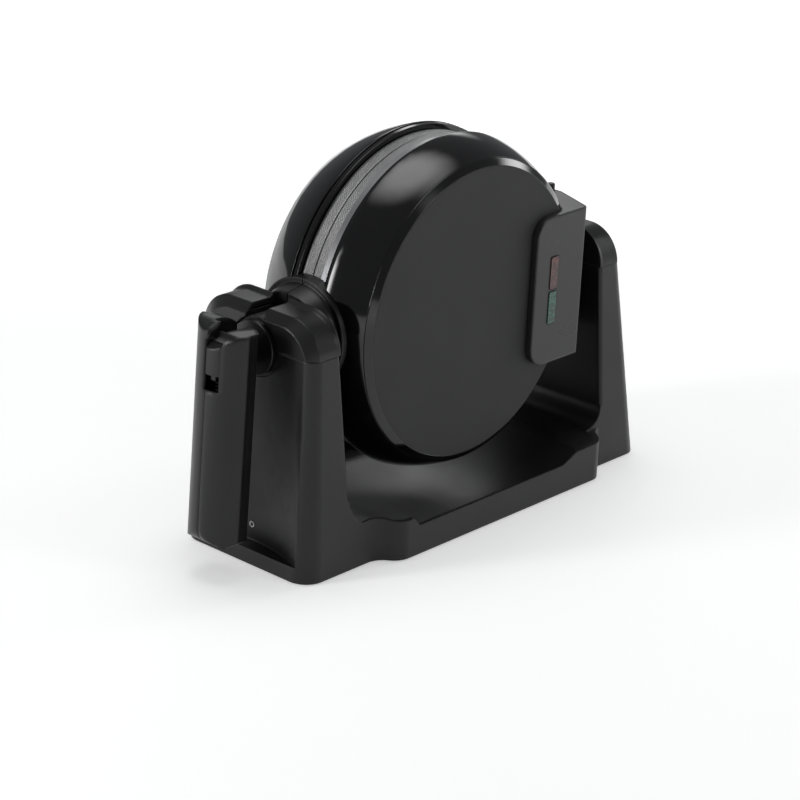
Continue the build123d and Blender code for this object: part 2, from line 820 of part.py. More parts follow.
def back_hinge_housing():
    """The back half's housing, which holds the arms and the far trunnion."""
    shape = back_block(0) - back_block(housing_wall) - back_envelope()
    face = back_housing_right - housing_wall - 1
    shape += shaft(face, back_housing_right, trunnion_flange_radius)
    for side in (1, -1):
        level = axis_height + side * (arm_level + arm_thickness / 2)
        half = arm_thickness / 2 + housing_wall
        block = box(hinge_x - arm_half_width - housing_wall, back_housing_right - 1,
                    housing_back_depth, arm_tail, level - half, level + half)
        shape += block & back_block(0)
    shape -= back_envelope()
    shape -= [arm_room(side) for side in (1, -1)]
    return shape - shaft(face - 1, back_housing_right + 1, trunnion_bore)


def far_trunnion():
    """The hollow journal in the far tower, through which the leads pass."""
    start = back_housing_right + seat_gap
    shape = shaft(start, trunnion_end, trunnion_radius)
    shape += shaft(start, start + trunnion_flange_sheet, trunnion_flange_radius)
    return shape - shaft(start, trunnion_end, trunnion_bore)


def hinge_pin():
    """The lid's hinge pin, held in the arms."""
    reach = arm_level + arm_thickness
    return rod((hinge_x, hinge_y, axis_height - reach), (hinge_x, hinge_y, axis_height + reach),
               hinge_pin_radius)


# Towers, caps and beam

def tower_section(height, inner_floor, outer_floor, inset):
    """A tower's rectangle at one height, with tight corners towards the head."""
    share = height / seam_height
    inner = inner_floor + (tower_inner_top - inner_floor) * share + inset
    outer = outer_floor + (tower_outer_top - outer_floor) * share - inset
    half = tower_half_floor + (tower_half_top - tower_half_floor) * share - inset
    corner = tower_corner_floor + (tower_corner_top - tower_corner_floor) * share - inset
    shape = Pos((inner + outer) / 2, 0, height) * Rectangle(outer - inner, 2 * half)
    ends = shape.vertices().group_by(Axis.X)
    shape = fillet(ends[-1], corner)
    return fillet(shape.vertices().group_by(Axis.X)[0], tower_inner_corner - inset / 2)


def tower(inner_floor, outer_floor, low, high, inset):
    """A leaning tower between two heights, modelled on the far side."""
    ends = [tower_section(h, inner_floor, outer_floor, inset) for h in (low, high)]
    return loft(ends, ruled=True)


def near_tower(low, high, inset):
    """The tower behind the handle."""
    return near(tower(near_inner_floor, near_outer_floor, low, high, inset))


def far_tower(low, high, inset):
    """The tower beside the lights."""
    return tower(far_inner_floor, far_outer_floor, low, high, inset)


def scoop(inset):
    """The hollow in the near tower's outer face, behind the folded handle."""
    sections = []
    for height, depth, half in ((ledge_height - inset, scoop_depth_floor, scoop_half_floor),
                                (seam_height - 1 + inset, scoop_depth_top, scoop_half_top)):
        lean = (tower_outer_top - near_outer_floor) * height / seam_height
        face = near_outer_floor + lean
        deep = face - depth - inset
        wide = half + inset
        out = face + scoop_cut
        edges = Curve() + [ThreePointArc((-face, -wide), (-deep, 0), (-face, wide)),
                           Polyline((-face, wide), (-out, wide), (-out, -wide), (-face, -wide))]
        sections.append(Pos(0, 0, height) * make_face(edges))
    return loft(sections, ruled=True)


def beam_plan(inset, height):
    """The beam's outline in plan at one height, narrowing in a double curve to each tower."""
    side = beam_half_width - inset
    lean = (tower_half_floor - tower_half_top) * height / seam_height
    end = tower_half_floor - lean - inset
    middle = (side + end) / 2
    x0, x1 = beam_near_curve
    x2, x3 = beam_far_curve
    near_end = -(near_inner_floor + tower_corner_floor)
    far_end = far_inner_floor + tower_corner_floor
    upper = [
        Line((near_end, end), (x0, end)),
        TangentArc((x0, end), ((x0 + x1) / 2, middle), tangent=(1, 0)),
        TangentArc((x1, side), ((x0 + x1) / 2, middle), tangent=(-1, 0)),
        Line((x1, side), (x2, side)),
        TangentArc((x2, side), ((x2 + x3) / 2, middle), tangent=(1, 0)),
        TangentArc((x3, end), ((x2 + x3) / 2, middle), tangent=(-1, 0)),
        Line((x3, end), (far_end, end)),
        Line((far_end, end), (far_end, 0)),
        Line((near_end, 0), (near_end, end)),
    ]
    half = Curve() + upper
    return Pos(0, 0, height) * make_face(half + mirror(half, about=Plane.XZ))


def deck_profile(inset):
    """The beam's crowned cross-section, in (y, z)."""
    top, edge = deck_height - inset, deck_edge_height - inset
    half = beam_half_width + 1
    middle_y = (half + deck_flat) / 2
    middle_z = edge + (top - edge) * deck_crown
    return make_face(Curve() + [
        Line((-deck_flat, top), (deck_flat, top)),
        ThreePointArc((deck_flat, top), (middle_y, middle_z), (half, edge)),
        Polyline((half, edge), (half, 0), (-half, 0), (-half, edge)),
        ThreePointArc((-half, edge), (-middle_y, middle_z), (-deck_flat, top)),
    ])


def trough_reach(height):
    """Where the trough's far slope reaches a height, along X."""
    return trough_middle + sqrt(trough_radius ** 2
                                - (trough_radius - height + trough_floor) ** 2)


def side_trim(inset):
    """What is cut away above the low walls on either side of the trough."""
    low = side_wall_height - inset
    high = deck_height + side_trim_rise
    x0 = side_low_start - inset
    x1 = trough_reach(side_wall_height) + inset
    slope = ((trough_reach(deck_edge_height) - trough_reach(side_wall_height))
             / (deck_edge_height - side_wall_height))
    along = Plane.XZ * make_face(Polyline(
        (x0, low), (x1, low), (x1 + (high - low) * slope, high), (x0 - (high - low), high),
        close=True))
    trimmed = extrude(along, amount=beam_half_width + 1, both=True)
    keep = trough_half_width - inset
    return trimmed - box(-whole_reach, whole_reach, -keep, keep, 0, high + 1)


def trough(inset):
    """The dished hollow under the head: a long slope from the near tower, a shorter one to its
    crest before the far tower, with a thin wall left on either side."""
    top = deck_height + side_trim_rise
    low = trough_floor - inset
    near_x = -blend_foot(near_inner_floor, *near_blend)
    near_z = near_blend[2] - inset
    rise = near_z - low
    near_radius = ((trough_middle - near_x) ** 2 + rise ** 2) / (2 * rise)
    near_turn = atan2(trough_middle - near_x, near_radius - rise) / 2
    far_radius = trough_radius + inset
    far_x = trough_middle + sqrt(far_radius ** 2 - (far_radius - top + low) ** 2)
    far_turn = atan2(far_x - trough_middle, far_radius - top + low) / 2
    face = make_face(Curve() + [
        ThreePointArc((near_x, near_z),
                      (trough_middle - near_radius * sin(near_turn),
                       low + near_radius * (1 - cos(near_turn))),
                      (trough_middle, low)),
        ThreePointArc((trough_middle, low),
                      (trough_middle + far_radius * sin(far_turn),
                       low + far_radius * (1 - cos(far_turn))),
                      (far_x, top)),
        Polyline((far_x, top), (near_x - blend_overlap, top), (near_x - blend_overlap, near_z),
                 (near_x, near_z)),
    ])
    dish = extrude(Plane.XZ * face, amount=beam_half_width + 1, both=True)
    return dish & extrude(beam_plan(trough_margin - inset, 0), amount=top)


def beam(low, inset):
    """The beam between the towers, or its hollow."""
    block = loft([beam_plan(inset, low), beam_plan(inset, deck_height)], ruled=True)
    block &= extrude(Plane.YZ * deck_profile(inset), amount=whole_reach, both=True)
    return block - side_trim(inset) - trough(inset)


def blend_foot(inner_floor, radius, turn, foot_height):
    """Where the blend up into a tower begins, along X."""
    lean = (tower_inner_top - inner_floor) / seam_height
    top = foot_height + radius * sin(radians(turn))
    return inner_floor + lean * top - radius * (1 - cos(radians(turn)))


def deck_blend(inner_floor, radius, turn, foot_height):
    """The concave blend from the beam up into a tower, modelled on the far side, as wide as the
    tower."""
    lean = (tower_inner_top - inner_floor) / seam_height
    top = foot_height + radius * sin(radians(turn))
    head = (inner_floor + lean * top, top)
    foot = (blend_foot(inner_floor, radius, turn, foot_height), foot_height)
    low = foot_height - base_wall
    face = make_face(Curve() + [
        TangentArc(head, foot, tangent=(-lean, -1)),
        Polyline(foot, (foot[0], low), (inner_floor + lean * low + base_wall, low),
                 (head[0] + base_wall, top), head),
    ])
    sides = make_face(Polyline((-tower_half_floor, 0), (tower_half_floor, 0),
                               (tower_half_top, seam_height), (-tower_half_top, seam_height),
                               close=True))
    return (extrude(Plane.XZ * face, amount=tower_half_floor, both=True)
            & extrude(Plane.YZ * sides, amount=whole_reach))


def bush_holes():
    """The bearing holes of both towers."""
    return [shaft(-tower_outer_top - bush_hole_over, -tower_inner_top + bush_hole_reach,
                  bush_radius + seat_gap),
            shaft(tower_inner_top - bush_hole_reach, far_bush_end, far_bush_radius + seat_gap)]


def bearing_bosses():
    """The walls round both bushes, from each tower's inner face to its outer one."""
    near_boss = shaft(-tower_outer_top + base_wall / 2, -tower_inner_top, bush_radius + bearing_boss)
    far_boss = shaft(tower_inner_top, tower_outer_top - base_wall / 2,
                     far_bush_radius + bearing_boss)
    return [near_boss, far_boss]


def boss_places():
    """Places of the four screw bosses inside the towers."""
    near_x = -(near_inner_floor + near_outer_floor) / 2
    far_x = (far_inner_floor + far_outer_floor) / 2
    return [(x, sy * boss_spread) for x in (near_x, far_x) for sy in (1, -1)]


def gland_place():
    """Where the cord enters, in the back of the far tower."""
    share = gland_height / seam_height
    wall = tower_half_floor + (tower_half_top - tower_half_floor) * share
    return (far_inner_floor + far_outer_floor) / 2, wall


def base_shell():
    """Both towers and the beam, one hollow moulding open below and at the tower tops."""
    low = base_lift
    shape = near_tower(low, seam_height, 0) + far_tower(low, seam_height, 0) + beam(low, 0)
    shape += [near(deck_blend(near_inner_floor, *near_blend)),
              deck_blend(far_inner_floor, *far_blend)]
    hollow_low = low - 1
    near_hollow = near_tower(hollow_low, seam_height + 1, base_wall) - scoop(base_wall)
    far_hollow = far_tower(hollow_low, seam_height + 1, base_wall)
    shape -= [near_hollow, far_hollow, beam(hollow_low, base_wall)]
    below = box(-whole_reach, whole_reach, -beam_half_width, beam_half_width, low, seam_height)
    shape += [boss & below for boss in bearing_bosses()]
    shape -= scoop(0)
    bosses = [rod((x, y, bottom_top + seat_gap), (x, y, boss_top), boss_radius)
              for x, y in boss_places()]
    shape += bosses
    shape -= [rod((x, y, low), (x, y, boss_top - boss_cap), screw_shank + running_gap)
              for x, y in boss_places()]
    shape -= bush_holes()
    x, wall = gland_place()
    return shape - rod((x, wall - gland_depth, gland_height),
                       (x, wall + gland_flange_sheet, gland_height), gland_radius + seat_gap)


def cap_section(x, inset, rise):
    """A tower cap's outline across the tower, at one place along X."""
    half = tower_half_top - inset
    flat = cap_flat - inset / 2
    top = cap_top - inset + rise
    dx, dz = flat - half, top - seam_height
    chord = hypot(dx, dz)
    sagitta = cap_arc_radius - sqrt(cap_arc_radius ** 2 - chord ** 2 / 4)
    mid_y = (half + flat) / 2 + dz / chord * sagitta
    mid_z = (seam_height + top) / 2 - dx / chord * sagitta
    face = make_face(Curve() + [
        Line((-half, seam_height), (half, seam_height)),
        ThreePointArc((half, seam_height), (mid_y, mid_z), (flat, top)),
        Line((flat, top), (-flat, top)),
        ThreePointArc((-flat, top), (-mid_y, mid_z), (-half, seam_height)),
    ])
    return Plane(origin=(x, 0, 0), x_dir=(0, 1, 0), z_dir=(1, 0, 0)) * face


def far_cap():
    """The far tower's cap: a rounded top with a bevelled outer edge and a raised inner lip."""
    inner, outer = tower_inner_top, tower_outer_top
    bevel = outer - cap_bevel_x
    lip = inner + cap_lip_run
    shape = loft([cap_section(inner, 0, cap_lip_rise), cap_section(lip, 0, 0)], ruled=True)
    shape += loft([cap_section(lip, 0, 0), cap_section(bevel, 0, 0)], ruled=True)
    shape += loft([cap_section(bevel, 0, 0), cap_section(outer, cap_bevel_side, 0)], ruled=True)
    hollow = loft([cap_section(inner + base_wall, base_wall, 0),
                   cap_section(bevel, base_wall, 0)], ruled=True)
    hollow += loft([cap_section(bevel, base_wall, 0),
                    cap_section(outer - base_wall, cap_bevel_side, 0)], ruled=True)
    hollow = Pos(0, 0, -1) * hollow
    shape -= hollow
    shape &= above_seam()
    for side in (1, -1):
        y = side * (tower_half_top - base_wall - seat_gap)
        tab = sorted((y, y - side * base_wall))
        shape += box(inner + cap_tab, outer - cap_tab, *tab, seam_height - cap_tab / 2,
                     seam_height + cap_tab / 2)
    return shape


def above_seam():
    """All the space above the towers' seam."""
    side = tower_half_floor
    return box(-whole_reach, whole_reach, -side, side, seam_height + seat_gap, 2 * axis_height)


def near_cap(start, end):
    """The part of the near cap between two places along Y, on one side of its notch."""
    boss = bearing_bosses()[0] & above_seam()
    shape = near(far_cap()) + boss
    shape &= box(-whole_reach, 0, start, end, 0, 2 * axis_height)
    return shape - bush_holes()


def near_cap_front():
    """The near cap in front of the notch through which the lid's half of the hub can lift."""
    return near_cap(-tower_half_floor, notch_front)


def near_cap_back():
    """The near cap behind the notch."""
    return near_cap(notch_back, tower_half_floor)


def far_tower_cap():
    """The far cap, which closes over the far bush."""
    boss = bearing_bosses()[1] & above_seam()
    return far_cap() + boss - bush_holes()


def bottom_plate():
    """The flat cover under the towers and the beam."""
    inset = base_wall + bottom_gap
    low, high = base_lift, bottom_top
    shape = near_tower(low, high, inset) + far_tower(low, high, inset)
    shape += extrude(beam_plan(inset, low), amount=bottom_sheet)
    for x, y in boss_places():
        shape -= rod((x, y, low), (x, y, high), screw_shank + running_gap)
        shape -= rod((x, y, low), (x, y, low + screw_head_height + seat_gap), screw_head + screw_head_gap)
    return shape - [rod((x, y, low), (x, y, low + foot_recess), foot_radius + seat_gap)
                    for x, y in foot_places()]


def foot_places():
    """Places of the four feet, under the towers."""
    return [(x, (1 if y > 0 else -1) * foot_spread) for x, y in boss_places()]


def rubber_feet():
    """Four round feet set into the bottom plate."""
    feet = [rod((x, y, 0), (x, y, foot_thickness - seat_gap), foot_radius)
            for x, y in foot_places()]
    return Compound([chamfer(foot.edges().group_by(Axis.Z)[0], foot_chamfer) for foot in feet])


def bottom_screws():
    """The four screws that hold the bottom plate."""
    seat = base_lift + screw_head_height
    tip = boss_top - boss_cap - 1
    return Compound([screw((x, y, tip), (x, y, seat)) for x, y in boss_places()])


def bearing(start, end, outer, bore):
    """A plain bush on the turning axis."""
    return shaft(start, end, outer) - shaft(start, end, bore + running_gap)


def cord_gland():
    """The strain relief where the cord enters; the cord itself isn't shown."""
    x, wall = gland_place()
    z = gland_height
    face = wall + seat_gap + gland_flange * (tower_half_floor - tower_half_top) / seam_height
    shape = rod((x, wall - gland_depth, z), (x, face, z), gland_radius)
    shape += rod((x, face, z), (x, face + gland_flange_sheet, z), gland_flange)
    shape += rod((x, face, z), (x, face + gland_reach, z), gland_bore + gland_wall)
    return shape - rod((x, wall - gland_depth, z), (x, face + gland_reach, z), gland_bore)


def terminal_block():
    """The block on the bottom plate where cord and leads meet."""
    dx, dy, dz = terminal_size
    x = (far_inner_floor + far_outer_floor) / 2
    z = bottom_top + seat_gap
    return box(x - dx / 2, x + dx / 2, -dy / 2, dy / 2, z, z + dz)


# Handle

def handle_section(inset):
    """The handle's cross-section: a bulging outer half and a narrower inner one."""
    outer = -handle_outer + inset
    bulge_x, bulge_y = -handle_bulge[0] + inset * 0.7, handle_bulge[1] - inset * 0.7
    wide = handle_half_width - inset
    rear = handle_rear_half - inset
    turn_x, turn_mid, turn_y = handle_rear_turn
    inner = handle_inner - inset
    edges = []
    for side in (1, -1):
        edges += [
            ThreePointArc((outer, 0), (bulge_x, side * bulge_y), (handle_crease, side * wide)),
            Polyline((handle_crease, side * wide), (handle_crease + crease_step, side * rear),
                     (turn_x - inset, side * rear)),
            ThreePointArc((turn_x - inset, side * rear),
                          (turn_mid - inset, side * (turn_y - inset * 0.3)), (inner, 0)),
        ]
    return make_face(Curve() + edges)


def side_profile(inset, top):
    """The handle's outline seen along its pivot, up to a chosen top."""
    outer, inner = -handle_outer + inset, handle_inner - inset
    bottom = -handle_bottom + inset
    big, small = handle_bottom_round - inset, handle_inner_round - inset
    big_pull, small_pull = big * (1 - sqrt(0.5)), small * (1 - sqrt(0.5))
    face = make_face(Curve() + [
        ThreePointArc((outer, bottom + big), (outer + big_pull, bottom + big_pull),
                      (outer + big, bottom)),
        Line((outer + big, bottom), (inner - small, bottom)),
        ThreePointArc((inner - small, bottom), (inner - small_pull, bottom + small_pull),
                      (inner, bottom + small)),
        Polyline((inner, bottom + small), (inner, top), (outer, top), (outer, bottom + big)),
    ])
    return extrude(Plane.XZ * face, amount=handle_half_width + 1, both=True)


def end_profile(inset, top):
    """The handle's outline seen from the outside, with rounded lower corners."""
    bottom = -handle_bottom + inset
    round_start = handle_half_width - handle_side_round
    corner = handle_side_round - inset
    level = bottom + corner
    pull = corner * (1 - sqrt(0.5))
    edge = round_start + corner
    face = make_face(Curve() + [
        Line((-round_start, bottom), (round_start, bottom)),
        ThreePointArc((round_start, bottom), (edge - pull, bottom + pull), (edge, level)),
        Polyline((edge, level), (edge, top), (-edge, top), (-edge, level)),
        ThreePointArc((-edge, level), (-edge + pull, bottom + pull), (-round_start, bottom)),
    ])
    return extrude(Plane.YZ * face, amount=whole_reach, both=True)


def handle_block(inset):
    """The handle's outer form, or its hollow, upright about the pivot."""
    top = dome_radius if inset == 0 else -slot_edge
    bar = Pos(0, 0, -handle_bottom - 1) * extrude(handle_section(inset),
                                                 amount=handle_bottom + 1 + top)
    bar &= side_profile(inset, top)
    bar &= end_profile(inset, top)
    dome = Rot(90, 0, 0) * Cylinder(dome_radius, 2 * handle_half_width + 2)
    dome += box(-handle_outer - 1, handle_inner + 1, -handle_half_width - 1,
                handle_half_width + 1, -handle_bottom - 1, 0)
    return bar & dome


def ramp():
    """What the front half's slanted top leaves out."""
    low = ramp_top - ramp_drop
    face = make_face(Polyline((-handle_outer - 1, low - ramp_drop / ramp_run),
                              (ramp_run - handle_outer, ramp_top), (handle_inner + 1, ramp_top),
                              (handle_inner + 1, dome_radius + 1),
                              (-handle_outer - 1, dome_radius + 1), close=True))
    return extrude(Plane.XZ * face, amount=handle_half_width + 1, both=True)


def latch_window():
    """The opening in the handle's outer face in which the latch slides."""
    return box(-handle_outer - 1, -slot_edge, -latch_left, latch_right, -window_bottom,
               latch_top)


def knuckle_slot():
    """Room for the hub's knuckle and its bar, from folded to straight out."""
    half = knuckle_half + moving_gap
    back = handle_inner + 1
    high = dome_radius + 1
    shape = rod((0, -half, 0), (0, half, 0), slot_edge)
    shape += box(0, back, -half, half, -slot_edge, high)
    return shape + box(-knuckle_bar_top - moving_gap, back, -half, half, 0, high)


def stand(shape):
    """Puts a piece modelled upright about the pivot where the folded handle leans."""
    return Pos(-pivot_x, 0, axis_height) * Rot(0, handle_lean, 0) * shape


def handle_bosses():
    """The screw bosses inside the handle, along Y."""
    reach = handle_rear_half - handle_wall / 2
    return [rod((handle_screw_x, -reach, -level), (handle_screw_x, reach, -level),
                handle_boss_radius) for level in handle_screw_levels]


def handle_body():
    """Both halves of the handle together, hollow below its pivot."""
    hollow = handle_block(handle_wall) - handle_bosses()
    shape = handle_block(0) - hollow - latch_window() - knuckle_slot()
    for level in handle_screw_levels:
        shape -= rod((handle_screw_x, -handle_screw_tip - seat_gap, -level),
                     (handle_screw_x, handle_rear_half + 2, -level), screw_shank + running_gap)
        shape -= rod((handle_screw_x, handle_head_seat, -level),
                     (handle_screw_x, handle_rear_half + 2, -level), screw_head + screw_head_gap)
    return shape - rod((0, -pivot_pin_half - seat_gap, 0), (0, pivot_pin_half + seat_gap, 0),
                       pivot_pin_radius + running_gap)


def half_room(side):
    """All the space on one side of the handle's seam."""
    start, end = sorted((side * seat_gap / 2, side * (handle_half_width + 1)))
    return box(-handle_outer - 1, handle_inner + 1, start, end, -handle_bottom - 1,
               dome_radius + 1)


def handle_front_half():
    """The half with the slanted top, and inside it the shelf of the latch spring."""
    shelf_top = spring_seat - seat_gap
    shelf = box(-handle_outer, spring_radius + spring_wall - spring_x, -handle_half_width,
                -seat_gap, shelf_top - spring_shelf, shelf_top) & handle_block(0)
    shape = handle_body() + shelf
    return stand(shape & half_room(-1) - ramp())


def handle_back_half():
    """The half with the domed top and the screw heads."""
    return stand(handle_body() & half_room(1))


def handle_screws():
    """The two screws that join the halves."""
    seat = handle_head_seat + seat_gap
    return stand(Compound([screw((handle_screw_x, -handle_screw_tip, -level),
                                 (handle_screw_x, seat, -level))
                           for level in handle_screw_levels]))


def handle_pin():
    """The pin on which the handle folds."""
    return stand(rod((0, -pivot_pin_half, 0), (0, pivot_pin_half, 0), pivot_pin_radius))


def latch_tongue():
    """The sliding latch in the handle's outer face, with a foot on its spring."""
    plate = extrude(handle_section(latch_inset), amount=latch_bottom + latch_top)
    plate = Pos(0, 0, -latch_bottom) * plate
    left, right = latch_side_gap - latch_left, latch_right - latch_side_gap
    bottom = foot_underside
    window = box(-handle_outer, -latch_inner, left, right, -latch_bottom, latch_top)
    middle = (left + right) / 2
    shape = (plate & window) - ramp()
    stem_x = -latch_inner - latch_stem
    sides = (middle - latch_stem_half, middle + latch_stem_half)
    shape += box(stem_x, -latch_inner, *sides, bottom, 1 - latch_bottom)
    shape += box(stem_x, -latch_foot_end, *sides, bottom, bottom + latch_foot)
    return stand(shape)


def latch_spring():
    """The latch's return spring, as a plain tube."""
    middle = (latch_right - latch_left) / 2
    ends = ((-spring_x, middle, spring_seat), (-spring_x, middle, spring_seat + spring_length))
    return stand(rod(*ends, spring_radius) - rod(*ends, spring_radius - spring_wire))


# Every sub-part by name

nodes = {
    "base_shell": base_shell(),
    "near_cap_front": near_cap_front(),
    "near_cap_back": near_cap_back(),
    "far_tower_cap": far_tower_cap(),
    "bottom_plate": bottom_plate(),
    "rubber_feet": rubber_feet(),
    "bottom_screws": bottom_screws(),
    "near_bearing": bearing(-near_bush_end, -bush_start, bush_radius, hub_radius),
    "far_bearing": bearing(bush_start, far_bush_end, far_bush_radius, trunnion_radius),
    "cord_gland": cord_gland(),
    "terminal_block": terminal_block(),
    "back_shell": shell(back_lip_depth, back_step, back_rim_radius, back_shell_depth,
                        back_edge_radius, back_bulge),
    "back_cover": back_cover(),
    "back_ring": ring(back_ring_depth),
    "back_plate": cooking_plate(back_ring_depth),
    "back_heater": heater(),
    "back_reflector": reflector(),
    "back_plate_screws": plate_screws(),
    "thermostat": thermostat(),
    "thermal_fuse": thermal_fuse(),
    "back_neck": back_neck(),
    "hub": hub(),
    "back_hinge_housing": back_hinge_housing(),
    "hinge_arms": hinge_arms(),
    "hinge_pin": hinge_pin(),
    "far_trunnion": far_trunnion(),
    "front_shell": front(shell(front_lip_depth, front_step, front_rim_radius,
                               front_shell_depth, front_edge_radius, front_bulge)),
    "front_bezel": front_bezel(),
    "front_cover": front_cover(),
    "front_ring": front(ring(front_ring_depth)),
    "front_plate": front(cooking_plate(front_ring_depth)),
    "front_heater": Rot(0, 0, 180) * heater(),
    "front_reflector": front(reflector()),
    "front_plate_screws": front(plate_screws()),
    "front_neck": front_neck(),
    "indicator_housing": indicator_housing(),
    "red_lens": lens(lens_levels[0]),
    "green_lens": lens(lens_levels[1]),
    "indicator_lamps": lamps(),
    "lamp_board": lamp_board(),
    "hinge_stud": hinge_stud(),
    "handle_front_half": handle_front_half(),
    "handle_back_half": handle_back_half(),
    "handle_screws": handle_screws(),
    "handle_pin": handle_pin(),
    "latch_tongue": latch_tongue(),
    "latch_spring": latch_spring(),
}

for node, solid in nodes.items():
    write(node, solid)
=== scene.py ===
# %% [markdown]
# # Dressing a rotating waffle maker
# The imported CAD model is the frame of this scene. It gives every part its place, and this script
# gives the parts their looks. We start by loading it. The scene is in metres, so a length that
# is easier to read in millimetres is written as a number times mm.

# %% Load the frame
import json
from math import pi, radians

import bmesh
import bpy
from mathutils import Matrix, Vector


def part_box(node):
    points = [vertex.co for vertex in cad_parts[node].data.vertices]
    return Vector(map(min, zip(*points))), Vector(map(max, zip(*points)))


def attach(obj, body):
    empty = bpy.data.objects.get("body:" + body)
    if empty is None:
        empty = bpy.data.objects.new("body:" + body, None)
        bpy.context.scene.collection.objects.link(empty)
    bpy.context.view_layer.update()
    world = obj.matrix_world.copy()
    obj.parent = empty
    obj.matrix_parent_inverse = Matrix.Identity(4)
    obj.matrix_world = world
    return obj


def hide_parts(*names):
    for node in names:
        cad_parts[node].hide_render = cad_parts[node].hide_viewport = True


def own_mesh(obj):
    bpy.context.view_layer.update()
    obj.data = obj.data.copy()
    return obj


mm = 0.001
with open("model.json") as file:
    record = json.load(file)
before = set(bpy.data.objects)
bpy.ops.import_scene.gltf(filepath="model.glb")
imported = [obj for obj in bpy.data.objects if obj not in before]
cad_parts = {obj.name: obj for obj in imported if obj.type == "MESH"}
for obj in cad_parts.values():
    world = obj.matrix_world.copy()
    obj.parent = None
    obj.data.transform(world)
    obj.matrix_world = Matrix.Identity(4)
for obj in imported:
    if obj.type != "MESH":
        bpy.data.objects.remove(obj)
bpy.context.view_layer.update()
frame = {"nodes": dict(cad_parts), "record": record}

# %% [markdown]
# ## Small helpers
# A few jobs come up again and again below: an empty material, a node whose settings and inputs are
# given by name, a sum on sockets, a mix of two colours, and a mesh that becomes an object.


# %% Helpers for nodes and objects
def new_material(name):
    """A material with an empty node tree and its output."""
    material = bpy.data.materials.new(name)
    material.use_nodes = True
    material.node_tree.nodes.clear()
    output = material.node_tree.nodes.new("ShaderNodeOutputMaterial")
    return material, material.node_tree, output


def add(tree, kind, settings=None, **values):
    """A node with some of its settings and inputs set by name."""
    node = tree.nodes.new(kind)
    for label, value in (settings or {}).items():
        setattr(node, label, value)
    for label, value in values.items():
        node.inputs[label.replace("_", " ")].default_value = value
    return node


def sum_of(tree, operation, *terms):
    """A Math node on sockets and plain numbers; the result's socket comes back."""
    node = add(tree, "ShaderNodeMath", {"operation": operation})
    for socket, term in zip(node.inputs, terms):
        if isinstance(term, (int, float)):
            socket.default_value = term
        else:
            tree.links.new(term, socket)
    return node.outputs[0]


def mix_of(tree, first, second):
    """A Mix node between two colours, whose factor is still to be linked."""
    return add(tree, "ShaderNodeMix", {"data_type": "RGBA"}, A=(*first, 1), B=(*second, 1))


def linked_object(name, bm, material):
    """An object of the scene, made of a bmesh and one material."""
    mesh = bpy.data.meshes.new(name)
    bm.to_mesh(mesh)
    bm.free()
    mesh.materials.append(material)
    thing = bpy.data.objects.new(name, mesh)
    bpy.context.scene.collection.objects.link(thing)
    return thing


def middle_of(node):
    """The middle of a part's box in the frame."""
    low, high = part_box(node)
    return (low + high) / 2


# %% [markdown]
# ## The camera
# The photograph was taken from the handle's side, a little above the cap of the near tower. A camera
# that was solved from straight edges and circles in the picture is written down here as a place and
# three directions. A matrix says both at once, so no helper has to guess where up is.

# %% Camera
camera_data = bpy.data.cameras.new("studio_camera")
camera_data.lens = 122.81
camera_data.sensor_width = 36.0
camera = bpy.data.objects.new("studio_camera", camera_data)
camera_right = (0.66996135, -0.74095159, 0.04628744)
camera_up = (0.243533, 0.27824287, 0.92912463)
camera_back = (-0.70131553, -0.61120507, 0.36685813)
camera_place = (-1.252766, -1.086620, 0.723993)
axes = Matrix((camera_right, camera_up, camera_back)).transposed().to_4x4()
camera.matrix_world = Matrix.Translation(camera_place) @ axes
bpy.context.scene.collection.objects.link(camera)
bpy.context.scene.camera = camera

# %% [markdown]
# ## The floor
# A product picture on white is mostly floor. The floor is a wide plane that keeps the soft shadow,
# and only the rays of the camera and of mirror-like surfaces see it brighter, so that it turns into
# a white page without throwing more light on the object. Far from the object, where the lamps no
# longer reach, that lift grows to full white.

# %% Floor
floor_reach, paper_white = 8.0, 0.80
near_lift, far_lift, lift_start, lift_end = 0.40, 1.0, 0.35, 1.6
paper, tree, output = new_material("studio_paper")
matt = add(tree, "ShaderNodeBsdfDiffuse", Color=(paper_white, paper_white, paper_white, 1))
lift = add(tree, "ShaderNodeEmission", Color=(1, 1, 1, 1))
path = add(tree, "ShaderNodeLightPath")
place = add(tree, "ShaderNodeTexCoord")
distance = add(tree, "ShaderNodeVectorMath", {"operation": "LENGTH"})
growth = add(tree, "ShaderNodeMapRange", {"interpolation_type": "SMOOTHSTEP"}, From_Min=lift_start,
             From_Max=lift_end, To_Min=near_lift, To_Max=far_lift)
both = add(tree, "ShaderNodeAddShader")
seen = sum_of(tree, "MAXIMUM", path.outputs["Is Camera Ray"], path.outputs["Is Glossy Ray"])
tree.links.new(place.outputs["Object"], distance.inputs[0])
tree.links.new(distance.outputs["Value"], growth.inputs["Value"])
tree.links.new(sum_of(tree, "MULTIPLY", seen, growth.outputs["Result"]), lift.inputs["Strength"])
tree.links.new(matt.outputs[0], both.inputs[0])
tree.links.new(lift.outputs[0], both.inputs[1])
tree.links.new(both.outputs[0], output.inputs["Surface"])

bm = bmesh.new()
bmesh.ops.create_grid(bm, x_segments=1, y_segments=1, size=floor_reach)
floor = linked_object("studio_floor", bm, paper)

# %% [markdown]
# ## Studio light
# Black plastic has hardly a colour of its own: what the eye reads is the reflection of the lamps.
# So the lamps are large soft boxes, placed where the photograph shows light along the edges, and
# the room between them is dim. A real soft box is brightest in its middle. Here the lamp's own
# coordinates, which run from 0 to 1 across it, give the distance from the middle, and the glow
# fades with it, so that a reflection in gloss black has no hard corners.

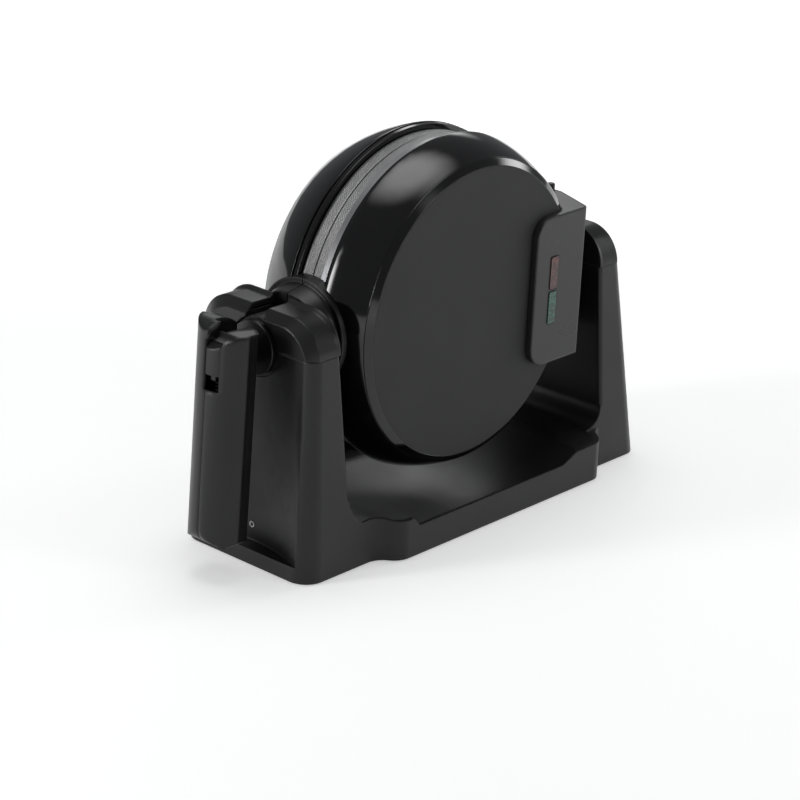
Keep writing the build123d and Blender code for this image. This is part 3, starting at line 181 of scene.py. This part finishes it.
# %% World and lamps
world = bpy.data.worlds.new("studio")
bpy.context.scene.world = world
world.use_nodes = True
room = world.node_tree.nodes["Background"]
room.inputs["Color"].default_value = (0.95, 0.97, 1.0, 1)
room.inputs["Strength"].default_value = 0.20
head_centre = middle_of("front_ring")
head_centre.y = 0
middle_glow, glow_start, glow_end = 2.2, 0.12, 0.52


def soft_box(name, place, aim, width, height, power):
    """One rectangular lamp that looks at a point and fades towards its edges."""
    data = bpy.data.lights.new(name, "AREA")
    data.shape = "RECTANGLE"
    data.size = width
    data.size_y = height
    data.energy = power
    data.use_nodes = True
    tree = data.node_tree
    cloth = add(tree, "ShaderNodeNewGeometry")
    away = add(tree, "ShaderNodeVectorMath", {"operation": "DISTANCE"})
    away.inputs[1].default_value = (0.5, 0.5, 0)
    fade = add(tree, "ShaderNodeMapRange", {"interpolation_type": "SMOOTHSTEP"}, From_Min=glow_start,
               From_Max=glow_end, To_Min=middle_glow, To_Max=0.0)
    tree.links.new(cloth.outputs["Parametric"], away.inputs[0])
    tree.links.new(away.outputs["Value"], fade.inputs["Value"])
    tree.links.new(fade.outputs["Result"], tree.nodes["Emission"].inputs["Strength"])
    lamp = bpy.data.objects.new(name, data)
    turn = (Vector(place) - Vector(aim)).to_track_quat("Z", "Y").to_matrix().to_4x4()
    lamp.matrix_world = Matrix.Translation(place) @ turn
    bpy.context.scene.collection.objects.link(lamp)


soft_box("top_light", (0.1, 0.2, 1.7), head_centre, 1.8, 1.5, 15)
soft_box("left_light", (-1.6, 0.7, 0.5), head_centre, 0.5, 1.5, 19)
soft_box("front_light", (0.6, -1.8, 0.9), head_centre, 1.0, 1.0, 7)
soft_box("right_light", (1.7, -0.5, 0.6), head_centre, 0.6, 1.2, 7)
soft_box("back_light", (1.5, 1.3, 1.05), head_centre, 1.3, 0.7, 3.5)

bpy.context.scene.view_settings.view_transform = "Standard"

# %% [markdown]
# ## Surface effects
# Moulded plastic is never quite even. Its mould leaves a fine grain, hands polish it here and there,
# and a little dust settles on what faces up. Several finishes need the same effects, so each is a
# node group with named inputs, built once.


# %% A helper for node groups
def new_group(name, inputs, outputs):
    """A shader node group with its named sockets."""
    tree = bpy.data.node_groups.new(name, "ShaderNodeTree")
    for label, kind, value in inputs:
        socket = tree.interface.new_socket(label, in_out="INPUT", socket_type=kind)
        if value is not None:
            socket.default_value = value
    for label, kind in outputs:
        tree.interface.new_socket(label, in_out="OUTPUT", socket_type=kind)
    return tree, tree.nodes.new("NodeGroupInput"), tree.nodes.new("NodeGroupOutput")


NUMBER, POINT, COLOUR = "NodeSocketFloat", "NodeSocketVector", "NodeSocketColor"

# %% [markdown]
# ### Grain
# Two noises make the grain: a fine one for the spark-eroded mould, and a broad one that changes the
# gloss from place to place, as handling does.

# %% Grain group
grain, entry, leave = new_group(
    "moulded_grain",
    [("Vector", POINT, None), ("Grains per metre", NUMBER, 1400.0), ("Patches per metre", NUMBER, 22.0),
     ("Roughness", NUMBER, 0.4), ("Variation", NUMBER, 0.08)],
    [("Height", NUMBER), ("Roughness", NUMBER), ("Patches", NUMBER)])
fine = add(grain, "ShaderNodeTexNoise", Detail=2.0, Roughness=0.6)
broad = add(grain, "ShaderNodeTexNoise", Detail=3.0)
spread = add(grain, "ShaderNodeMapRange", From_Min=0.3, From_Max=0.7, To_Min=-1.0)
for target, label in ((fine, "Grains per metre"), (broad, "Patches per metre")):
    grain.links.new(entry.outputs["Vector"], target.inputs["Vector"])
    grain.links.new(entry.outputs[label], target.inputs["Scale"])
grain.links.new(broad.outputs["Fac"], spread.inputs["Value"])
scaled = sum_of(grain, "MULTIPLY_ADD", spread.outputs["Result"], entry.outputs["Variation"],
                entry.outputs["Roughness"])
grain.links.new(fine.outputs["Fac"], leave.inputs["Height"])
grain.links.new(scaled, leave.inputs["Roughness"])
grain.links.new(broad.outputs["Fac"], leave.inputs["Patches"])

# %% [markdown]
# ### Dust
# Dust lies on faces that look up and is thin elsewhere. The normal's upward share, broken up by a
# noise, is the mask, and the group mixes the plastic's colour with a pale grey by it.

# %% Dust group
dust, entry, leave = new_group(
    "settled_dust",
    [("Vector", POINT, None), ("Color", COLOUR, (0.02, 0.02, 0.02, 1)), ("Amount", NUMBER, 0.03)],
    [("Color", COLOUR), ("Mask", NUMBER)])
facing = add(dust, "ShaderNodeNewGeometry")
parts = add(dust, "ShaderNodeSeparateXYZ")
upward = add(dust, "ShaderNodeMapRange", From_Min=0.2)
specks = add(dust, "ShaderNodeTexNoise", Scale=420.0, Detail=4.0)
cover = add(dust, "ShaderNodeMix", {"data_type": "RGBA"}, B=(0.35, 0.34, 0.32, 1))
dust.links.new(facing.outputs["Normal"], parts.inputs[0])
dust.links.new(parts.outputs["Z"], upward.inputs["Value"])
dust.links.new(entry.outputs["Vector"], specks.inputs["Vector"])
broken = sum_of(dust, "MULTIPLY", upward.outputs["Result"], specks.outputs["Fac"])
strength = sum_of(dust, "MULTIPLY", broken, entry.outputs["Amount"])
dust.links.new(strength, cover.inputs["Factor"])
dust.links.new(entry.outputs["Color"], cover.inputs["A"])
dust.links.new(cover.outputs["Result"], leave.inputs["Color"])
dust.links.new(strength, leave.inputs["Mask"])

# %% [markdown]
# ## Finishes
# One function makes every moulded or pressed finish: a Principled shader whose colour passes
# through the dust, whose roughness varies with the patches, and whose bump is the grain. Values
# that are the same all over go straight to the shader's sockets.
#
# No moulded edge is knife sharp. The Bevel node looks a short way to each side of a point and
# blends the normals that it finds, so each edge catches a thin line of light, as on the real thing,
# and the mesh keeps its size.


# %% Moulded finishes
relief_depth = 0.4 * mm


def moulded(name, colour, roughness, variation=0.06, grains=1400.0, bump=0.05, dusty=0.02,
            edge=0.8 * mm, **more):
    """A moulded, pressed or cast finish with grain, patches of gloss, dust and rounded edges."""
    material, tree, output = new_material(name)
    place = add(tree, "ShaderNodeTexCoord")
    surface = add(tree, "ShaderNodeGroup", {"node_tree": grain}, Grains_per_metre=grains,
                  Roughness=roughness, Variation=variation)
    film = add(tree, "ShaderNodeGroup", {"node_tree": dust}, Color=(*colour, 1), Amount=dusty)
    shader = add(tree, "ShaderNodeBsdfPrincipled", **more)
    relief = add(tree, "ShaderNodeBump", Strength=bump, Distance=relief_depth)
    rounded = add(tree, "ShaderNodeBevel", {"samples": 6}, Radius=edge)
    for node in (surface, film):
        tree.links.new(place.outputs["Object"], node.inputs["Vector"])
    tree.links.new(rounded.outputs["Normal"], relief.inputs["Normal"])
    tree.links.new(film.outputs["Color"], shader.inputs["Base Color"])
    tree.links.new(surface.outputs["Roughness"], shader.inputs["Roughness"])
    tree.links.new(surface.outputs["Height"], relief.inputs["Height"])
    tree.links.new(relief.outputs["Normal"], shader.inputs["Normal"])
    tree.links.new(shader.outputs[0], output.inputs["Surface"])
    return material


finishes = {
    "base_black": moulded("base_black", (0.0070, 0.0070, 0.0074), 0.36, 0.05, 1500.0, 0.08, 0.008,
                          1.4 * mm, Specular_IOR_Level=0.36),
    "gloss_black": moulded("gloss_black", (0.003, 0.003, 0.0034), 0.09, 0.02, 300.0, 0.004, 0.006),
    "satin_grey": moulded("satin_grey", (0.034, 0.034, 0.034), 0.62, 0.02, bump=0.04, dusty=0.004,
                          Specular_IOR_Level=0.28),
    "handle_black": moulded("handle_black", (0.0062, 0.0062, 0.0066), 0.33, 0.05, 1500.0, 0.08, 0.008,
                            1.6 * mm, Specular_IOR_Level=0.36),
    "hub_black": moulded("hub_black", (0.007, 0.007, 0.007), 0.30, edge=1.2 * mm),
    "plate_coating": moulded("plate_coating", (0.022, 0.021, 0.020), 0.45, 0.05, 2200.0, 0.25, 0.0),
    "bare_sheet": moulded("bare_sheet", (0.62, 0.62, 0.60), 0.32, 0.06, 500.0, 0.05, 0.0,
                          Metallic=1.0),
    "heater_sheath": moulded("heater_sheath", (0.16, 0.13, 0.11), 0.5, 0.1, 900.0, 0.1, 0.0,
                             Metallic=1.0),
    "fixing_steel": moulded("fixing_steel", (0.30, 0.30, 0.29), 0.35, 0.08, 900.0, 0.05, 0.0,
                            Metallic=1.0),
    "bearing_dark": moulded("bearing_dark", (0.012, 0.012, 0.013), 0.5),
    "foot_rubber": moulded("foot_rubber", (0.03, 0.03, 0.03), 0.8, 0.05, 1800.0, 0.3, 0.05),
    "board_green": moulded("board_green", (0.02, 0.14, 0.05), 0.35, 0.05, 700.0, 0.03, 0.0),
    "fuse_case": moulded("fuse_case", (0.72, 0.70, 0.66), 0.4, 0.05, 900.0, 0.05, 0.0),
    "lamp_glass": moulded("lamp_glass", (0.8, 0.8, 0.78), 0.08, 0.02, 400.0, 0.02, 0.0),
}

# %% [markdown]
# ### The metal band
# Each half of the head wears a band of matt metal. Its middle carries a fine crossed pattern, and a
# plain stripe runs along its outer edge. The pattern goes round the middle of the head, so the
# material first moves its coordinates there and turns two of them into an angle; the third is the
# depth. The depth also says where the pattern ends and the stripe begins.
# Two waves that lean against each other are the crossed lines.

# %% Band finish
band, tree, output = new_material("ring_steel")
place = add(tree, "ShaderNodeTexCoord")
centred = add(tree, "ShaderNodeMapping", Location=-head_centre)
parts = add(tree, "ShaderNodeSeparateXYZ")
tree.links.new(place.outputs["Object"], centred.inputs["Vector"])
tree.links.new(centred.outputs["Vector"], parts.inputs[0])

lines_round, line_pitch, pattern_depth, band_relief = 330.0, 2.0 * mm, 7.0 * mm, 0.3 * mm
angle = sum_of(tree, "ARCTAN2", parts.outputs["Z"], parts.outputs["X"])
around = sum_of(tree, "MULTIPLY", angle, lines_round)
across = sum_of(tree, "MULTIPLY", parts.outputs["Y"], 2 * pi / line_pitch)
crossed = sum_of(tree, "MAXIMUM", sum_of(tree, "SINE", sum_of(tree, "ADD", around, across)),
                 sum_of(tree, "SINE", sum_of(tree, "SUBTRACT", around, across)))
textured = sum_of(tree, "LESS_THAN", sum_of(tree, "ABSOLUTE", parts.outputs["Y"]), pattern_depth)
tone = mix_of(tree, (0.30, 0.30, 0.31), (0.34, 0.34, 0.34))
stripe_roughness, pattern_roughness = 0.34, 0.50
gloss = sum_of(tree, "MULTIPLY_ADD", textured, pattern_roughness - stripe_roughness, stripe_roughness)
relief = add(tree, "ShaderNodeBump", Strength=0.9, Distance=band_relief)
shader = add(tree, "ShaderNodeBsdfPrincipled", Metallic=0.8)
tree.links.new(textured, tone.inputs["Factor"])
tree.links.new(sum_of(tree, "MULTIPLY", crossed, textured), relief.inputs["Height"])
tree.links.new(tone.outputs["Result"], shader.inputs["Base Color"])
tree.links.new(gloss, shader.inputs["Roughness"])
tree.links.new(relief.outputs["Normal"], shader.inputs["Normal"])
tree.links.new(shader.outputs[0], output.inputs["Surface"])
finishes["ring_steel"] = band

# %% [markdown]
# ### The two lenses
# An unlit lens is dark, with small cells inside that scatter the light in pale spots. A Voronoi
# texture gives the cells: their distance from the middle mixes the deep colour with a milky one and
# raises a soft bump under a clear coat.


# %% Lens finishes
def lens_finish(name, deep, milky):
    """Tinted plastic with a cell pattern under a clear coat."""
    material, tree, output = new_material(name)
    place = add(tree, "ShaderNodeTexCoord")
    cells = add(tree, "ShaderNodeTexVoronoi", Scale=420.0, Randomness=0.6)
    spots = add(tree, "ShaderNodeMapRange", From_Min=0.25, From_Max=0.62, To_Min=1.0, To_Max=0.0)
    tint = mix_of(tree, deep, milky)
    relief = add(tree, "ShaderNodeBump", Strength=0.4, Distance=relief_depth)
    shader = add(tree, "ShaderNodeBsdfPrincipled", Roughness=0.3, Coat_Weight=0.25, Coat_Roughness=0.15)
    tree.links.new(place.outputs["Object"], cells.inputs["Vector"])
    tree.links.new(cells.outputs["Distance"], spots.inputs["Value"])
    tree.links.new(spots.outputs["Result"], tint.inputs["Factor"])
    tree.links.new(cells.outputs["Distance"], relief.inputs["Height"])
    tree.links.new(tint.outputs["Result"], shader.inputs["Base Color"])
    tree.links.new(relief.outputs["Normal"], shader.inputs["Normal"])
    tree.links.new(shader.outputs[0], output.inputs["Surface"])
    return material


finishes["lens_red"] = lens_finish("lens_red", (0.045, 0.006, 0.006), (0.17, 0.035, 0.03))
finishes["lens_green"] = lens_finish("lens_green", (0.004, 0.045, 0.028), (0.02, 0.16, 0.10))
print(len(finishes), "finishes")

# %% [markdown]
# ## Which part has which finish
# The imported record says which slot each part takes its finish from, so the table is read from
# there and not typed again. A few parts get a finish of their own within their slot: the housing of
# the lights and the two halves of the grip, whose edges are rounder, and the latch spring, whose
# steel is made nearly black.

# %% Finishes on the frame's parts
slot_of = {part["node"]: part["material_slot"] for part in frame["record"]["subparts"]}
members = frame["record"]["behaviour"]["bodies"]
body_of = {node: body for body, nodes in members.items() for node in nodes}
finish_of = {node: finishes[slot] for node, slot in slot_of.items()}
finish_of["indicator_housing"] = moulded("housing_black", (0.026, 0.026, 0.026), 0.30, 0.03, 1400.0,
                                         0.04, 0.004, 2.4 * mm, Specular_IOR_Level=0.4)
grip_black = moulded("grip_black", (0.0055, 0.0055, 0.0058), 0.33, 0.05, 1500.0, 0.07, 0.006,
                     4.0 * mm, Specular_IOR_Level=0.36)
grip_halves = ("handle_front_half", "handle_back_half")
for node in grip_halves:
    finish_of[node] = grip_black
# The latch spring's steel is made nearly black.
finish_of["latch_spring"] = moulded("darkened_steel", (0.03, 0.03, 0.03), 0.4, Metallic=1.0)
for node, part in frame["nodes"].items():
    part.data.materials.clear()
    part.data.materials.append(finish_of[node])

# %% [markdown]
# ## Smooth mouldings
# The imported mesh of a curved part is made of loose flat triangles, and light would show each one.
# For the mouldings that the eye rests on, a copy of the mesh is taken, its doubled corners are
# merged, and its faces are shaded smooth up to a crease angle. Large flat faces would then be
# pulled round by the narrow ones beside them, so a Weighted Normal modifier lets the large
# faces decide.


# %% Smooth copies
weld, plain_crease, grip_crease = 0.01 * mm, 30.0, 56.0


def shade_smooth(bm, crease):
    """Smooth faces, with sharp edges where two faces meet at more than the crease."""
    for face in bm.faces:
        face.smooth = True
    for edge in bm.edges:
        edge.smooth = len(edge.link_faces) == 2 and edge.calc_face_angle(0) < radians(crease)


def smoothed(node, crease=plain_crease):
    """A merged, smooth-shaded copy that stands for one part of the frame."""
    bm = bmesh.new()
    bm.from_mesh(frame["nodes"][node].data)
    bmesh.ops.remove_doubles(bm, verts=bm.verts, dist=weld)
    bmesh.ops.dissolve_degenerate(bm, edges=bm.edges, dist=weld)
    shade_smooth(bm, crease)
    piece = linked_object(node + "_moulding", bm, finish_of[node])
    if "custom_normal" in piece.data.attributes:
        piece.data.attributes.remove(piece.data.attributes["custom_normal"])
    weighted = piece.modifiers.new("weighted", "WEIGHTED_NORMAL")
    weighted.keep_sharp = True
    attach(piece, body_of[node])
    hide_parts(node)


mouldings = (
    "base_shell", "near_cap_front", "near_cap_back", "far_tower_cap", "front_shell", "back_shell",
    "front_bezel", "front_neck", "back_neck", "hub", "indicator_housing",
    "back_hinge_housing", "latch_tongue", "hinge_stud", "far_trunnion", "front_ring", "back_ring")
for node in mouldings:
    smoothed(node)
for node in grip_halves:
    smoothed(node, grip_crease)
print(len(mouldings) + len(grip_halves), "mouldings")

# %% [markdown]
# ## The back cover
# The cover is a turned part, so its section is spun round the head's axis in steps too fine to
# see: a flat disc, a sloping edge, and the inside of the sheet. The frame gives its radius and
# depth, and the width of the slope, the lip and the sheet are its own.

# %% Turned cover
cover_low, cover_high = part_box("back_cover")
cover_middle = middle_of("back_cover")
cover_slope, cover_lip, cover_sheet = 7.4 * mm, 3.0 * mm, 1.6 * mm
cover_steps, cover_crease = 192, 20.0
rim_radius, outside, seat = cover_high.x - cover_middle.x, cover_high.y, cover_low.y
flat_radius = rim_radius - cover_slope
section = ((0, outside), (flat_radius, outside), (rim_radius, seat), (rim_radius - cover_lip, seat),
           (flat_radius - cover_sheet, outside - cover_sheet), (0, outside - cover_sheet))
bm = bmesh.new()
corners = [bm.verts.new((radius, depth, 0)) for radius, depth in section]
sides = [bm.edges.new(pair) for pair in zip(corners, corners[1:])]
bmesh.ops.spin(bm, geom=corners + sides, cent=(0, 0, 0), axis=(0, 1, 0), dvec=(0, 0, 0),
               angle=2 * pi, steps=cover_steps, use_merge=True)
bmesh.ops.remove_doubles(bm, verts=bm.verts[:], dist=weld)
bmesh.ops.recalc_face_normals(bm, faces=bm.faces[:])
shade_smooth(bm, cover_crease)
bmesh.ops.translate(bm, verts=bm.verts[:], vec=(cover_middle.x, 0, cover_middle.z))
turned_cover = linked_object("turned_cover", bm, finish_of["back_cover"])
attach(turned_cover, body_of["back_cover"])
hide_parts("back_cover")
print("turned cover", len(turned_cover.data.polygons), "faces")

# %% [markdown]
# ## The latch spring
# The frame holds the spring's room as a plain tube, because a spring changes its length. Here it
# is wound: a small circle, the wire's section, is spun seven times round the spring's axis while it
# climbs, and its two ends are filled.

# %% Wound spring
spring_radius, wire_radius, spring_length = 1.65 * mm, 0.33 * mm, 15.9 * mm
turns, steps_a_turn, pressed_share = 7, 20, 0.58
spring_axis = Vector((0.0401, 0, 0.9992))
spring_middle = Vector((-176.45 * mm, -3.5 * mm, 122.88 * mm))
bm = bmesh.new()
bmesh.ops.create_circle(bm, segments=8, radius=wire_radius)
bmesh.ops.rotate(bm, verts=bm.verts[:], matrix=Matrix.Rotation(radians(90), 3, "X"))
climb = spring_length - 2 * wire_radius
bmesh.ops.translate(bm, verts=bm.verts[:], vec=(spring_radius, 0, -climb / 2))
bmesh.ops.spin(bm, geom=bm.verts[:] + bm.edges[:], cent=(0, 0, 0), axis=(0, 0, 1),
               dvec=(0, 0, climb / (turns * steps_a_turn)), angle=2 * pi * turns,
               steps=turns * steps_a_turn)
bmesh.ops.holes_fill(bm, edges=bm.edges[:], sides=0)
bmesh.ops.recalc_face_normals(bm, faces=bm.faces[:])
for face in bm.faces:
    face.smooth = len(face.verts) == 4
bmesh.ops.rotate(bm, verts=bm.verts[:], matrix=spring_axis.to_track_quat("Z", "Y").to_matrix())
bmesh.ops.translate(bm, verts=bm.verts[:], vec=spring_middle)
latch_coil = linked_object("latch_coil", bm, finish_of["latch_spring"])
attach(latch_coil, "handle")
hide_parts("latch_spring")
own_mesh(latch_coil)
print("latch coil", len(latch_coil.data.polygons), "faces")

# %% [markdown]
# ## A printed ring
# Low on the near tower, beside the folded handle, a small pale ring is printed. Print has almost no
# thickness: a filled circle is inset, its middle is deleted, and the solidify operator gives the
# rest a hair of height. It is turned to face outwards and laid on the wall.

# %% Printed ring
print_place = Vector((-137.04 * mm, 3.34 * mm, 21.66 * mm))
wall_normal = Vector((-0.999, -0.04, -0.03))
print_radius, print_line, print_height, print_edge = 2.0 * mm, 0.62 * mm, 0.06 * mm, 0.05 * mm
bm = bmesh.new()
bmesh.ops.create_circle(bm, cap_ends=True, segments=40, radius=print_radius)
middle = bm.faces[:]
bmesh.ops.inset_region(bm, faces=middle, thickness=print_line, use_boundary=True)
bmesh.ops.delete(bm, geom=middle, context="FACES")
bmesh.ops.solidify(bm, geom=bm.faces[:], thickness=-print_height)
bmesh.ops.recalc_face_normals(bm, faces=bm.faces[:])
bmesh.ops.rotate(bm, verts=bm.verts[:], matrix=wall_normal.to_track_quat("Z", "Y").to_matrix())
bmesh.ops.translate(bm, verts=bm.verts[:], vec=print_place)
print_white = moulded("print_white", (0.88, 0.88, 0.86), 0.5, edge=print_edge)
printed_ring = linked_object("printed_ring", bm, print_white)
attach(printed_ring, "base")
print("printed ring", len(printed_ring.data.polygons), "faces")
